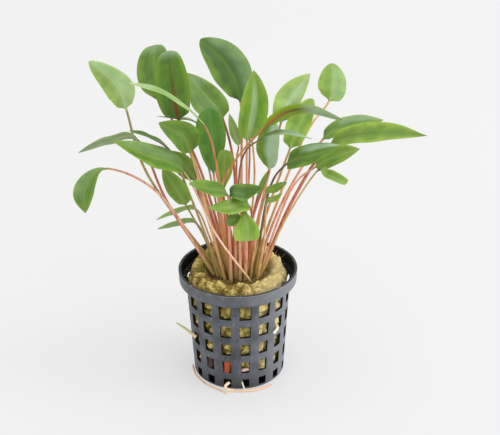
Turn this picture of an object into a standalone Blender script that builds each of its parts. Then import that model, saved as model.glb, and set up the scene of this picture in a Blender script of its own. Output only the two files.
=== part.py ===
"""Potted cryptocoryne: a net pot, a plug of rock wool and a rosette of long-stalked leaves.

Driving sizes are in millimetres and become metres through MM. +Z is up, +X is to the right
and -Y is the front. The origin is the middle of the pot's flat underside.
"""

import math
from collections import namedtuple

import bmesh
import bpy
from mathutils import Matrix, Vector

MM = 0.001

# Net pot
RIM_RADIUS = 27.5
RIM_HEIGHT = 54.0
LIP_RADIUS = 27.2
LIP_BOTTOM = 48.4
BODY_TOP_RADIUS = 23.9
BODY_TOP = 44.8
BASE_RADIUS = 21.2
SHOULDER_WIDTH = 0.8
BASE_EDGE = 0.2
WALL = 1.2
COLUMNS = 16
FIRST_COLUMN = math.radians(8.0 - 90.0)
WINDOW_ROWS = ((46.6, 39.2), (35.4, 29.3), (25.5, 19.4), (15.6, 9.5), (5.7, 1.5))
WINDOW_SHARE_TOP = 0.60
WINDOW_SHARE_BASE = 0.42
SLOT_OUTER = 17.0
SLOT_INNER = 9.5

# Rock wool plug
WOOL_RADIUS = 22.4
WOOL_BOTTOM_RADIUS = 20.0
WOOL_BOTTOM = 7.0
WOOL_EDGE_HEIGHT = 49.5
WOOL_TOP = 52.0
WOOL_BACK_RISE = 0.18
WOOL_SEGMENTS = 28
CROWN_CENTRE = (0.0, 2.8)
CROWN_REACH = (13.4, 11.8)
CROWN_FLOOR = 48.0
CROWN_SHARE = 0.6
TOP_RING_SHARES = (0.95, 0.86, 0.75)

# Leaves
FOOT_HEIGHT = 49.0
FOOT_RADIUS = 0.75
JOINT_RADIUS = 0.5
MIDRIB_THICKNESS = 0.8
MARGIN_THICKNESS = 0.3
TIP_THICKNESS_SHARE = 0.4
LEAST_HALF_WIDTH = 0.3
FOLD = 0.14
ROWS_PER_SPAN = 3

VIEWER = (0.0, -1.0, 0.5)
LEFT = (-0.5, -1.0, 0.4)
RIGHT = (0.4, -1.0, 0.4)
AWAY = (0.2, 1.0, 0.1)
LEVEL = (0.0, 0.0, 1.0)
TILTED = (0.0, -0.5, 1.0)
EDGE_ON = (0.0, 0.35, 1.0)
UNDER = (-0.2, 0.8, 0.6)

Leaf = namedtuple("Leaf", "foot bend joint middle tip width facing")

# Each leaf's own route: foot in the crown (x, y), bend of the stalk, joint of stalk and
# blade, middle of the blade and tip; then the blade's width and where its upper face looks.
LEAVES = {
    "leaf_01": Leaf((-9.8, 6.2), (-40, 11, 95), (-49.6, 20, 124.7), (-53.6, 27, 133), (-67, 36, 142),
                    13.2, VIEWER),
    "leaf_02": Leaf((-6.4, 10.4), (-19, 16, 88), (-31, 17, 127.5), (-36, 25, 139.5), (-36.5, 33, 150.5),
                    17.8, LEFT),
    "leaf_03": Leaf((-4, 2), (-17, 5, 98), (-25, 6, 125), (-27.5, 10, 141), (-29, 16, 154), 16.4, AWAY),
    "leaf_04": Leaf((-2.5, -1), (-8, -2, 101), (-14, -2, 126.5), (-30.5, -4, 143), (-46, -6, 148),
                    12.8, (0.0, 0.12, 1.0)),
    "leaf_05": Leaf((-2.2, 8.2), (-1, 11, 96), (-6, 16, 121.5), (-13, 22, 130), (-22, 29, 138.5),
                    15, RIGHT),
    "leaf_06": Leaf((1.2, 10.2), (2, 16, 90), (2, 22, 127), (-4, 30, 142), (-16, 39, 151), 17.6, VIEWER),
    "leaf_07": Leaf((1.8, 2.2), (4.4, 2, 88), (4.8, 2, 116.7), (7.2, 5, 133), (8, 8, 147.5), 13.4, RIGHT),
    "leaf_08": Leaf((-6, -3.4), (-16, -2, 96), (-20, -2, 113), (-23, -6, 123), (-33, -10, 131),
                    12.2, VIEWER),
    "leaf_09": Leaf((-3.5, 5.5), (-7, 6, 76), (-10.5, 8, 98), (-10.5, 9.5, 114.5), (-12, 12, 128.5),
                    13.4, VIEWER),
    "leaf_10": Leaf((-11.2, 3.8), (-31.5, 3, 86), (-43, 4, 116), (-56, 1, 117.5), (-69, -5, 115),
                    8.8, LEVEL),
    "leaf_11": Leaf((6.2, -5.8), (-9.5, -12.5, 78), (-23, -8, 106.5), (-38, -15, 117.5), (-52, -22, 128),
                    13.2, TILTED),
    "leaf_12": Leaf((-7.4, -1.4), (-22, 0, 94), (-29, 0, 113), (-37.5, -3, 121), (-46, -8, 126.5),
                    8.8, (0.0, 0.0, 1.0)),
    "leaf_13": Leaf((-6.6, 4.6), (-14, 6, 78), (-18.5, 6, 95.5), (-24, 7, 103), (-30, 8, 109.5),
                    9.2, VIEWER),
    "leaf_14": Leaf((-9.3, -0.4), (-14.5, 1, 67), (-23, 0, 86), (-28, 1, 95), (-33, 2, 104), 10.4, LEFT),
    "leaf_15": Leaf((-11.2, 1.4), (-34, -2, 92), (-56, -9, 109), (-65.6, -14, 102.6), (-65.8, -21, 93.4),
                    11.8, LEFT),
    "leaf_16": Leaf((-3.2, -5.4), (-3.5, -7, 74), (-4, -12, 97), (-12, -18, 103), (-20, -25, 109),
                    10, TILTED),
    "leaf_17": Leaf((-0.8, -3.2), (-1, -6, 73), (-2.8, -14, 97.6), (4, -15, 99.4), (11, -16, 102.6),
                    8.4, (0.0, -0.7, 1.0)),
    "leaf_18": Leaf((3.4, -1.9), (6.4, -6, 71), (5.6, -15, 93), (-4, -20, 94.8), (-12.6, -24, 96.9),
                    8.4, (0.0, -0.6, 1.0)),
    "leaf_19": Leaf((1, -4.9), (1.2, -7.5, 69), (0.6, -11.6, 87.2), (-1.4, -14.4, 86.2), (-4.2, -17.4, 85.2),
                    5.8, VIEWER),
    "leaf_20": Leaf((3.3, -4.2), (4, -8.2, 70), (2.4, -15.4, 90.3), (4.4, -20.5, 88.2), (5.4, -25.6, 81.4),
                    11.6, VIEWER),
    "leaf_21": Leaf((-6.6, 7.2), (-12.5, 9.5, 63), (-19, 13.5, 77), (-30, 16, 74), (-38, 17, 70), 7, LEVEL),
    "leaf_22": Leaf((-8.6, 8.4), (-13, 13, 58), (-20, 16, 69), (-29, 18, 67), (-38, 19, 64), 7, LEVEL),
    "leaf_23": Leaf((7, 9.5), (29, 13, 110), (42, 22, 127), (44, 29, 133.5), (44, 37, 139.5), 13, VIEWER),
    "leaf_24": Leaf((-3.6, -2.6), (-7, -5, 96), (12, -6, 126.2), (28, -7, 135.6), (46, -10, 131.6),
                    10.2, UNDER),
    "leaf_25": Leaf((4, 8.8), (12, 12, 84), (20, 14, 120), (24.5, 20, 129), (33.5, 28, 138), 12.2, RIGHT),
    "leaf_26": Leaf((3.4, 3.6), (6.6, 3, 76), (14.5, 4, 101.5), (14.6, 6, 112), (17, 8.5, 123), 11, LEFT),
    "leaf_27": Leaf((0.4, -1.2), (1.6, -4, 106.4), (11.5, -7, 122), (21.5, -11, 126.2), (32.5, -16, 125.6),
                    6, LEVEL),
    "leaf_28": Leaf((8.5, 7.2), (22, 12, 84), (39, 15, 111.2), (51.5, 15, 117.6), (66, 15, 120.6),
                    12.4, (0.0, -0.3, 1.0)),
    "leaf_29": Leaf((5.5, 5.5), (14, 7, 80), (24, 8, 110), (28.5, 13, 120), (34.5, 19, 129.5), 11.4, RIGHT),
    "leaf_30": Leaf((0.6, 5.6), (-0.1, 7, 100.2), (0.9, 9, 111.1), (-1, 10, 118), (-3, 11, 126),
                    4.4, VIEWER),
    "leaf_31": Leaf((11.2, 4), (25, 6, 84.5), (42, 5.5, 113), (63, 0, 121), (82.6, -8, 123), 12, TILTED),
    "leaf_32": Leaf((7.8, 0), (14, -3, 93), (22, -8, 110), (33, -14, 117), (45, -20, 124), 12.8, TILTED),
    "leaf_33": Leaf((9.7, 1.8), (24, 1, 92), (35, -1, 105), (44, -4, 111.8), (54, -6, 116), 11.2, TILTED),
    "leaf_34": Leaf((9.9, -1.4), (21.5, -5, 80.5), (35.2, -11, 107.8), (39.8, -15, 108.2), (47.6, -20, 106.2),
                    5.2, TILTED),
    "leaf_35": Leaf((5.6, -2), (8.6, -5, 73), (12.8, -8, 95), (17.2, -9, 98.8), (22, -10, 102),
                    3.8, VIEWER),
    "leaf_36": Leaf((8.9, -3.9), (12, -8, 72), (13.2, -12, 92.6), (16.4, -13, 95.4), (20, -14, 98.6),
                    2.6, VIEWER),
    "leaf_37": Leaf((-2, 3), (-3, 1, 71), (-6, 0, 91), (-5.6, 1, 102), (-5, 2, 112.5), 7.4, VIEWER),
    "leaf_38": Leaf((3.5, 1.5), (6, -2, 74), (9.4, -5, 93), (11.5, -5.5, 99.2), (13.5, -6, 105.4),
                    2.8, VIEWER),
    "leaf_39": Leaf((-4.4, 8.6), (-15, 12, 112), (-18.6, 12, 122), (-26.5, 12, 123.6), (-35.3, 12, 124.6),
                    6.8, EDGE_ON),
    "leaf_40": Leaf((-1.9, 10.8), (-6, 20, 74), (-11, 28, 95), (-12, 34, 104), (-13, 40, 113), 12, VIEWER),
    "leaf_41": Leaf((0.8, 12.7), (5.2, 22, 85), (6.1, 30, 108.2), (6.8, 36, 116), (7.2, 44, 124),
                    9.4, VIEWER),
    "leaf_42": Leaf((4.2, 11.4), (8, 18, 89.8), (7, 22, 109.2), (7.1, 24, 113.8), (7.6, 27, 119.5),
                    6.8, VIEWER),
    "leaf_43": Leaf((-4.4, 12.4), (-16, 22, 90), (-27, 26, 119), (-30, 34, 127), (-32, 42, 136),
                    13, VIEWER),
}

# Roots and the stray shoot: routes of their middle lines, with a radius at each end
ROOTS = {
    "root_front": (((-4.6, -20.9, 3.9), (-6.2, -22.4, 3.2), (-6.0, -23.0, 1.9), (-3.0, -23.0, 0.9),
                    (2.0, -23.5, 0.9), (8.0, -22.5, 0.9), (12.6, -20.5, 0.9), (15.0, -18.8, 0.9)), 0.75, 0.5),
    "root_left": (((-22.2, -1.3, 0.6), (-21.1, -7.5, 0.6), (-18.7, -12.7, 0.6), (-14.7, -17.9, 0.6),
                   (-9.8, -21.6, 0.6), (-5.6, -24.9, 0.6)), 0.5, 0.4),
    "root_right": (((17.6, -13.6, 30.8), (17.9, -16.0, 30.5), (16.2, -18.5, 29.2)), 0.7, 0.6),
    "shoot_left": (((-19.8, -12.0, 23.6), (-24.5, -12.0, 28.0), (-28.6, -12.0, 31.4)), 0.9, 0.25),
}


def clear_scene():
    """Start from an empty scene."""
    for old in list(bpy.data.objects):
        bpy.data.objects.remove(old, do_unlink=True)


def plain_material(name, colour, roughness):
    """One opaque, non-metallic finish."""
    material = bpy.data.materials.new(name)
    material.use_nodes = True
    shader = material.node_tree.nodes["Principled BSDF"]
    shader.inputs["Base Color"].default_value = (*colour, 1.0)
    shader.inputs["Roughness"].default_value = roughness
    shader.inputs["Metallic"].default_value = 0.0
    return material


def finish_object(name, shape, material, smooth_angle):
    """Turn a shape in millimetres into a named object in metres."""
    bmesh.ops.scale(shape, vec=(MM, MM, MM), verts=shape.verts)
    mesh = bpy.data.meshes.new(name)
    shape.to_mesh(mesh)
    shape.free()
    mesh.materials.append(material)
    mesh.shade_smooth()
    mesh.set_sharp_from_angle(angle=math.radians(smooth_angle))
    item = bpy.data.objects.new(name, mesh)
    bpy.context.scene.collection.objects.link(item)
    return item


def turned_shell(shape, profile, steps):
    """Spin an open profile of (radius, height) pairs once round the Z axis."""
    points = [shape.verts.new((radius, 0.0, height)) for radius, height in profile]
    edges = [shape.edges.new(pair) for pair in zip(points, points[1:])]
    bmesh.ops.spin(shape, geom=points + edges, axis=(0, 0, 1), steps=steps, angle=math.tau)
    bmesh.ops.remove_doubles(shape, verts=shape.verts, dist=0.001)
    bmesh.ops.recalc_face_normals(shape, faces=shape.faces)


def body_radius(height):
    """Outer radius of the tapering body below the lip."""
    return BASE_RADIUS + (BODY_TOP_RADIUS - BASE_RADIUS) * height / BODY_TOP


def make_pot():
    """Thin moulded wall with a deep lip, rows of windows and slots in its base."""
    rows = [height for row in WINDOW_ROWS[1:] for height in row]
    profile = [(RIM_RADIUS, RIM_HEIGHT), (LIP_RADIUS, LIP_BOTTOM)]
    profile += [(BODY_TOP_RADIUS + SHOULDER_WIDTH, WINDOW_ROWS[0][0])]
    profile += [(body_radius(height), height) for height in (BODY_TOP, WINDOW_ROWS[0][1])]
    profile += [(body_radius(height), height) for height in rows]
    profile += [(BASE_RADIUS - BASE_EDGE, 0.0), (SLOT_OUTER, 0.0), (SLOT_INNER, 0.0), (0.0, 0.0)]
    shape = bmesh.new()
    turned_shell(shape, profile, 2 * COLUMNS)

    # Even steps hold the left edges of the windows and odd ones the right edges
    pitch = math.tau / COLUMNS
    for vert in shape.verts:
        radius = math.hypot(vert.co.x, vert.co.y)
        step = round(math.atan2(vert.co.y, vert.co.x) / pitch * 2)
        side = 1 if step % 2 else -1
        rise = min(vert.co.z / BODY_TOP, 1.0)
        share = WINDOW_SHARE_BASE + (WINDOW_SHARE_TOP - WINDOW_SHARE_BASE) * rise
        turned = FIRST_COLUMN + pitch * (step // 2 + side * share / 2)
        vert.co.x = radius * math.cos(turned)
        vert.co.y = radius * math.sin(turned)

    openings = []
    for face in shape.faces:
        middle = face.calc_center_median()
        radius = math.hypot(middle.x, middle.y)
        turn = (math.atan2(middle.y, middle.x) - FIRST_COLUMN) / pitch
        in_column = abs(turn - round(turn)) < 0.25
        in_row = any(bottom < middle.z < top for top, bottom in WINDOW_ROWS)
        in_slot = middle.z == 0.0 and SLOT_INNER < radius < SLOT_OUTER
        if in_column and (in_row or in_slot):
            openings.append(face)
    bmesh.ops.delete(shape, geom=openings, context="FACES")

    pot = finish_object("pot", shape, plain_material("pot plastic", (0.07, 0.075, 0.09), 0.55), 35)
    wall = pot.modifiers.new("wall", "SOLIDIFY")
    wall.thickness = WALL * MM
    wall.offset = -1.0
    wall.use_even_offset = True
    return pot


def wool_lumps(x, y):
    """Height of the crumpled surface above its mean, from crossing waves."""
    wide = math.sin(0.55 * x + 1.3) * math.cos(0.5 * y - 0.4)
    narrow = math.sin(1.1 * x - 0.7 * y) * math.cos(0.9 * y + 0.6)
    return 0.8 * wide + 0.5 * narrow


def wool_height(x, y):
    """Top of the plug round the crown: lumpy, and higher at the back."""
    return WOOL_TOP + WOOL_BACK_RISE * max(y, 0.0) + wool_lumps(x, y)


def make_rock_wool():
    """Plug of rock wool: a tapering drum whose lumpy top is hollow where the crown sits."""
    profile = [(0.0, WOOL_BOTTOM), (WOOL_BOTTOM_RADIUS, WOOL_BOTTOM), (WOOL_RADIUS, WOOL_EDGE_HEIGHT)]
    profile += [(WOOL_RADIUS * share, WOOL_TOP) for share in TOP_RING_SHARES]
    profile += [(WOOL_RADIUS * CROWN_SHARE, CROWN_FLOOR), (0.0, CROWN_FLOOR)]
    shape = bmesh.new()
    turned_shell(shape, profile, WOOL_SEGMENTS)
    for vert in shape.verts:
        radius = math.hypot(vert.co.x, vert.co.y)
        if vert.co.z < CROWN_FLOOR or radius == 0.0:
            continue
        way = Vector((vert.co.x, vert.co.y)) / radius
        inward = (1 - radius / WOOL_RADIUS) / (1 - CROWN_SHARE)
        crown_edge = Vector(CROWN_CENTRE) + Vector((CROWN_REACH[0] * way.x, CROWN_REACH[1] * way.y))
        vert.co.xy = (way * WOOL_RADIUS).lerp(crown_edge, inward)
        if vert.co.z == WOOL_TOP:
            vert.co.z = wool_height(vert.co.x, vert.co.y)
    return finish_object("rock_wool", shape, plain_material("rock wool", (0.36, 0.28, 0.10), 0.95), 180)


def smooth_route(points, rows_per_span):
    """Places along a Catmull-Rom curve through the route's own points."""
    route = [Vector(point) for point in points]
    padded = [2 * route[0] - route[1]] + route + [2 * route[-1] - route[-2]]
    places = []
    for span in range(len(route) - 1):
        before, start, end, after = padded[span:span + 4]
        for row in range(rows_per_span):
            t = row / rows_per_span
            linear = (end - before) * t
            square = (2 * before - 5 * start + 4 * end - after) * t * t
            cubic = (3 * start - before - 3 * end + after) * t ** 3
            places.append(start + (linear + square + cubic) / 2)
    places.append(route[-1])
    return places


def directions_along(places):
    """Unit direction of a route at each of its places."""
    ends = list(zip(places[:1] + places[:-1], places[1:] + places[-1:]))
    return [(after - before).normalized() for before, after in ends]


def sides_along(directions, start, facing):
    """Sideways direction at each place: square to the facing at start and carried both ways."""
    sides = [None] * len(directions)
    sides[start] = directions[start].cross(Vector(facing)).normalized()
    for index in range(start + 1, len(directions)):
        carried = sides[index - 1] - sides[index - 1].project(directions[index])
        sides[index] = carried.normalized()
    for index in range(start - 1, -1, -1):
        carried = sides[index + 1] - sides[index + 1].project(directions[index])
        sides[index] = carried.normalized()
    return sides


def straight_rod(segments, rows):
    """Closed rod of unit radius, one unit long for each row, ringed at every row."""
    shape = bmesh.new()
    bmesh.ops.create_cone(shape, cap_ends=True, segments=segments, radius1=1.0, radius2=1.0, depth=rows,
                          matrix=Matrix.Translation((0.0, 0.0, rows / 2)))
    long_edges = [edge for edge in shape.edges if abs(edge.verts[0].co.z - edge.verts[1].co.z) > 0.5]
    bmesh.ops.subdivide_edges(shape, edges=long_edges, cuts=rows - 1)
    return shape


def blade_outline(share):
    """Half width of a blade as a share of its widest, from joint (0) to tip (1)."""
    return math.sin(math.pi * share ** 0.8) ** 0.7


def make_leaf(name, leaf, material):
    """One leaf: a round stalk that widens into a thin blade with a raised midrib."""
    route = ((*leaf.foot, FOOT_HEIGHT), leaf.bend, leaf.joint, leaf.middle, leaf.tip)
    places = smooth_route(route, ROWS_PER_SPAN)
    directions = directions_along(places)
    rows = len(places) - 1
    joint_row = 2 * ROWS_PER_SPAN
    sides = sides_along(directions, 3 * ROWS_PER_SPAN, leaf.facing)
    shape = straight_rod(6, rows)
    for vert in shape.verts:
        row = round(vert.co.z)
        across, up = vert.co.y, vert.co.x
        if row <= joint_row:
            radius = FOOT_RADIUS + (JOINT_RADIUS - FOOT_RADIUS) * row / joint_row
            across, up = across * radius, up * radius
        else:
            share = (row - joint_row) / (rows - joint_row)
            half_width = max(leaf.width / 2 * blade_outline(share), LEAST_HALF_WIDTH)
            across = half_width * round(across)
            thickness = MARGIN_THICKNESS if across else MIDRIB_THICKNESS
            thickness *= 1 + (TIP_THICKNESS_SHARE - 1) * share
            up = math.copysign(thickness / 2, up) + FOLD * abs(across)
        upward = sides[row].cross(directions[row])
        vert.co = places[row] + sides[row] * across + upward * up
    return finish_object(name, shape, material, 40)


def make_root(name, route, start_radius, end_radius, material):
    """Round root or shoot along its route, tapering to its end."""
    places = smooth_route(route, 2)
    directions = directions_along(places)
    sides = sides_along(directions, 0, (0.3, 0.2, 1.0))
    rows = len(places) - 1
    shape = straight_rod(6, rows)
    for vert in shape.verts:
        row = round(vert.co.z)
        radius = start_radius + (end_radius - start_radius) * row / rows
        upward = sides[row].cross(directions[row])
        vert.co = places[row] + (upward * vert.co.x + sides[row] * vert.co.y) * radius
    return finish_object(name, shape, material, 60)


clear_scene()
make_pot()
make_rock_wool()
leaf_green = plain_material("leaf green", (0.13, 0.28, 0.04), 0.45)
for leaf_name, leaf_values in LEAVES.items():
    make_leaf(leaf_name, leaf_values, leaf_green)
root_cream = plain_material("root cream", (0.75, 0.52, 0.30), 0.6)
for root_name, (root_route, first_radius, last_radius) in ROOTS.items():
    make_root(root_name, root_route, first_radius, last_radius, root_cream)
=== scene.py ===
import math
import random
from collections import namedtuple

import bmesh
import bpy
from mathutils import Matrix, Vector, noise


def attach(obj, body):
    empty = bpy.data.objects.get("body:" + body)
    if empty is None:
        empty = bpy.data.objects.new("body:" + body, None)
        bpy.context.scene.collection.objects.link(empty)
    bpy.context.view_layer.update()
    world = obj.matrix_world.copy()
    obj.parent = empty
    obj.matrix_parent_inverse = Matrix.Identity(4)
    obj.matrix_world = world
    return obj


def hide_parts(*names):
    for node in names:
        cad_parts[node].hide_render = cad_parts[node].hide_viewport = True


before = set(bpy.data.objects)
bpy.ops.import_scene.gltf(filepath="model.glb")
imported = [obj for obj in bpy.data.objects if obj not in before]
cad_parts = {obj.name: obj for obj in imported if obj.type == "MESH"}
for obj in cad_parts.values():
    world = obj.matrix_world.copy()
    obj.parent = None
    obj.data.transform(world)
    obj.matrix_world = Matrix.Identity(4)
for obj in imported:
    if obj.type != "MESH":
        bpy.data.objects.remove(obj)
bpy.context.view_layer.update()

# Viewpoint. A long lens looks down a little at the front of the pot, with the plant's
# middle just above the middle of the frame. Lengths here and below are in millimetres.
MM = 0.001
LOOK_DOWN = math.radians(27.5)
CAMERA_ROLL = math.radians(-0.5)
CAMERA_DISTANCE = 600.0
CAMERA_TARGET = Vector((5.8, 0.0, 79.6))
SENSOR_WIDTH = 36.0
FOCAL_SHARE = 1323 / 500

backward = Vector((0.0, -math.cos(LOOK_DOWN), math.sin(LOOK_DOWN)))
camera_turn = Matrix.Rotation(CAMERA_ROLL, 3, backward)
rightward = camera_turn @ Vector((1.0, 0.0, 0.0))
upward = camera_turn @ Vector((0.0, math.sin(LOOK_DOWN), math.cos(LOOK_DOWN)))
camera_data = bpy.data.cameras.new("camera")
camera_data.sensor_width = SENSOR_WIDTH
camera_data.lens = SENSOR_WIDTH * FOCAL_SHARE
camera_data.clip_start = 0.01
camera = bpy.data.objects.new("camera", camera_data)
camera_place = Matrix((rightward, upward, backward)).transposed().to_4x4()
camera_place.translation = (CAMERA_TARGET + backward * CAMERA_DISTANCE) * MM
camera.matrix_world = camera_place
bpy.context.scene.collection.objects.link(camera)
bpy.context.scene.camera = camera


# Floor and light. A wide pale floor that glows faintly except under the pot, beneath an
# even white sky, with large soft panels overhead, low at the right and at the front.
FLOOR_HALF_WIDTH = 4000.0
FLOOR_COLOUR = (137, 137, 137)
FLOOR_GLOW = 0.53
UNDER_POT = 21.0
FULL_SHADE_SHARE = 0.8
BLACK = (0, 0, 0)
WHITE = (255, 255, 255)
GRAIN_ROUGHNESS = 0.6
SKY_STRENGTH = 0.98
PANELS = (
    ("overhead panel", (500.0, 100.0, 3000.0), 1800.0, 36.0),
    ("side panel", (1900.0, -200.0, 620.0), 900.0, 17.0),
    ("front panel", (1300.0, -1500.0, 1500.0), 1300.0, 4.5),
)


def linear(colour):
    """Light value of a display colour given as 0 to 255."""
    shares = [level / 255 for level in colour]
    return tuple(share / 12.92 if share <= 0.04045 else ((share + 0.055) / 1.055) ** 2.4 for share in shares)


class Signal:
    """A value inside a material, on which Python's operators work."""

    def __init__(self, finish, socket):
        self.finish = finish
        self.socket = socket

    def __add__(self, other):
        return self.finish.reckon("ADD", self, other)

    def __sub__(self, other):
        return self.finish.reckon("SUBTRACT", self, other)

    def __rsub__(self, other):
        return self.finish.reckon("SUBTRACT", other, self)

    def __mul__(self, other):
        return self.finish.reckon("MULTIPLY", self, other)

    def __abs__(self):
        return self.finish.reckon("ABSOLUTE", self)

    __radd__ = __add__


class Finish:
    """One named material: its shader, and the nodes that vary it over the surface."""

    def __init__(self, name, colour, roughness, **constants):
        self.material = bpy.data.materials.new(name)
        self.material.use_nodes = True
        self.tree = self.material.node_tree
        self.shader = self.tree.nodes["Principled BSDF"]
        self.shader.inputs["Base Color"].default_value = (*linear(colour), 1.0)
        self.shader.inputs["Roughness"].default_value = roughness
        for socket, value in constants.items():
            self.shader.inputs[socket.replace("_", " ")].default_value = value

    def feed(self, socket, value):
        """Link a socket to another one, or set it to a fixed value."""
        if isinstance(value, Signal):
            value = value.socket
        if isinstance(value, bpy.types.NodeSocket):
            self.tree.links.new(value, socket)
        else:
            socket.default_value = value

    def node(self, kind, settings=(), sockets=()):
        """One more node, with its own settings and with what its sockets take in."""
        node = self.tree.nodes.new(kind)
        for name, value in dict(settings).items():
            setattr(node, name, value)
        for name, value in dict(sockets).items():
            self.feed(node.inputs[name], value)
        return node

    def reckon(self, operation, *values):
        """Result of one step of arithmetic on values or signals."""
        sockets = dict(enumerate(values))
        return Signal(self, self.node("ShaderNodeMath", {"operation": operation}, sockets).outputs[0])

    def step(self, value, start, end):
        """Smooth rise from 0 where the value is at start to 1 where it is at end."""
        sockets = {"Value": value, "From Min": start, "From Max": end}
        node = self.node("ShaderNodeMapRange", {"interpolation_type": "SMOOTHSTEP"}, sockets)
        return Signal(self, node.outputs["Result"])

    def place(self):
        """Place of this point of the surface, in metres."""
        return self.node("ShaderNodeTexCoord").outputs["Object"]

    def distance_along(self, axis):
        """How far along X, Y or Z this point of the surface is, in metres."""
        return Signal(self, self.node("ShaderNodeSeparateXYZ", (), {"Vector": self.place()}).outputs[axis])

    def grain(self, size, detail=3.0, stretch=(1.0, 1.0, 1.0)):
        """Soft noise whose features are about size millimetres across."""
        mapping = self.node("ShaderNodeMapping", (), {"Vector": self.place(), "Scale": stretch})
        sockets = {"Vector": mapping.outputs["Vector"], "Scale": 1.0 / (size * MM),
                   "Detail": detail, "Roughness": GRAIN_ROUGHNESS}
        return Signal(self, self.node("ShaderNodeTexNoise", (), sockets).outputs["Fac"])

    def read(self, name):
        """One of the values that the mesh holds at its points."""
        return Signal(self, self.node("ShaderNodeAttribute", {"attribute_name": name}).outputs["Fac"])

    def blend(self, share, first, second):
        """Colour between two others, which are display colours or sockets."""
        settings = {"data_type": "RGBA", "clamp_factor": True}
        ends = [(*linear(end), 1.0) if isinstance(end, tuple) else end for end in (first, second)]
        node = self.node("ShaderNodeMix", settings, {0: share, 6: ends[0], 7: ends[1]})
        return node.outputs[2]

    def paint(self, colour):
        """Give the surface this colour."""
        self.feed(self.shader.inputs["Base Color"], colour)

    def gloss(self, value):
        """Give the surface this roughness."""
        self.feed(self.shader.inputs["Roughness"], value)

    def raise_by(self, height, depth):
        """Surface relief: height from 0 to 1 stands for depth in millimetres."""
        sockets = {"Height": height, "Distance": depth * MM, "Strength": 1.0}
        self.feed(self.shader.inputs["Normal"], self.node("ShaderNodeBump", (), sockets).outputs["Normal"])


def settle(name, shape, finishes, smooth_angle=180.0):
    """Turn a shape in millimetres into an object in metres, with its finishes."""
    bmesh.ops.scale(shape, vec=(MM, MM, MM), verts=shape.verts)
    mesh = bpy.data.meshes.new(name)
    shape.to_mesh(mesh)
    shape.free()
    for finish in finishes:
        mesh.materials.append(finish.material)
    mesh.shade_smooth()
    mesh.set_sharp_from_angle(angle=math.radians(smooth_angle))
    item = bpy.data.objects.new(name, mesh)
    bpy.context.scene.collection.objects.link(item)
    return item


floor_paint = Finish("pale floor", FLOOR_COLOUR, 0.9, Specular_IOR_Level=0.0, Emission_Strength=FLOOR_GLOW)
distance = floor_paint.node("ShaderNodeVectorMath", {"operation": "LENGTH"}, {0: floor_paint.place()})
lit = floor_paint.step(distance.outputs["Value"], FULL_SHADE_SHARE * UNDER_POT * MM, UNDER_POT * MM)
floor_paint.feed(floor_paint.shader.inputs["Emission Color"], floor_paint.blend(lit, BLACK, WHITE))
floor_shape = bmesh.new()
bmesh.ops.create_grid(floor_shape, x_segments=2, y_segments=2, size=FLOOR_HALF_WIDTH)
settle("floor", floor_shape, [floor_paint])

sky = bpy.data.worlds.new("studio")
sky.use_nodes = True
sky.node_tree.nodes["Background"].inputs["Color"].default_value = (1.0, 1.0, 1.0, 1.0)
sky.node_tree.nodes["Background"].inputs["Strength"].default_value = SKY_STRENGTH
bpy.context.scene.world = sky
for panel_name, panel_place, panel_size, panel_power in PANELS:
    panel_data = bpy.data.lights.new(panel_name, "AREA")
    panel_data.size = panel_size * MM
    panel_data.energy = panel_power
    panel = bpy.data.objects.new(panel_name, panel_data)
    panel.location = Vector(panel_place) * MM
    panel.rotation_euler = (CAMERA_TARGET - Vector(panel_place)).to_track_quat("-Z", "Y").to_euler()
    bpy.context.scene.collection.objects.link(panel)
bpy.context.scene.view_settings.view_transform = "Standard"


# Net pot. One thin moulding in black plastic: a deep plain lip over a tapering wall with
# 16 columns of 5 windows, and a slotted base. Its outside is grey, a painted sheen on the
# black plastic, with painted light on the lip and to the right and painted shade at the
# foot, and the top of the rim is worn pale. The inside is black, darkened further as painted shade.
RIM_RADIUS = 27.5
RIM_HEIGHT = 54.0
LIP_RADIUS = 27.2
LIP_BOTTOM = 48.4
SHOULDER_WIDTH = 0.8
BODY_TOP_RADIUS = 23.9
BODY_TOP = 44.8
BASE_RADIUS = 21.2
BASE_ROUND = 0.7
POT_WALL = 1.2
POT_EDGE = 0.14
COLUMNS = 16
STEPS_PER_COLUMN = 6
FIRST_COLUMN = math.radians(8.0 - 90.0)
WINDOW_ROWS = ((46.6, 39.2), (35.4, 29.3), (25.5, 19.4), (15.6, 9.5), (5.7, 1.5))
WINDOW_SHARE_TOP = 0.60
WINDOW_SHARE_BASE = 0.42
SLOT_OUTER = 17.0
SLOT_INNER = 9.5
POT_GREY = (86, 90, 98)
POT_DARK = (56, 59, 65)
# Pale grey of the real scuffs, and of the painted light on the lip and to the right
POT_SCUFF_AND_LIGHT = (132, 135, 141)
POT_BLACK = (9, 9, 10)
POT_WORN = (168, 166, 152)
POT_CREASE = 35
ROUNDED_FROM = 50
# Top of the painted shade at the pot's foot
FOOT_SHADE_TOP = 16.0
# Heights of the painted light on the lip, and reach of the painted light to the right
LIP_PAINTED_LIGHT = (45.0, 50.0)
RIGHT_PAINTED_LIGHT = (2.0, 24.0)
RIM_WEAR = (53.6, 53.9)
INNER_RIM_WEAR = (53.7, 53.95)
RUBBED_SIZE = 3.5
RUBBED_FROM = (0.56, 0.72)
TOUCHING = 0.001


def body_radius(height):
    """Outer radius of the tapering body below the lip."""
    return BASE_RADIUS + (BODY_TOP_RADIUS - BASE_RADIUS) * height / BODY_TOP


def window_share(height):
    """How much of a column's width its window takes at this height."""
    return WINDOW_SHARE_BASE + (WINDOW_SHARE_TOP - WINDOW_SHARE_BASE) * min(height / BODY_TOP, 1.0)


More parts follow.
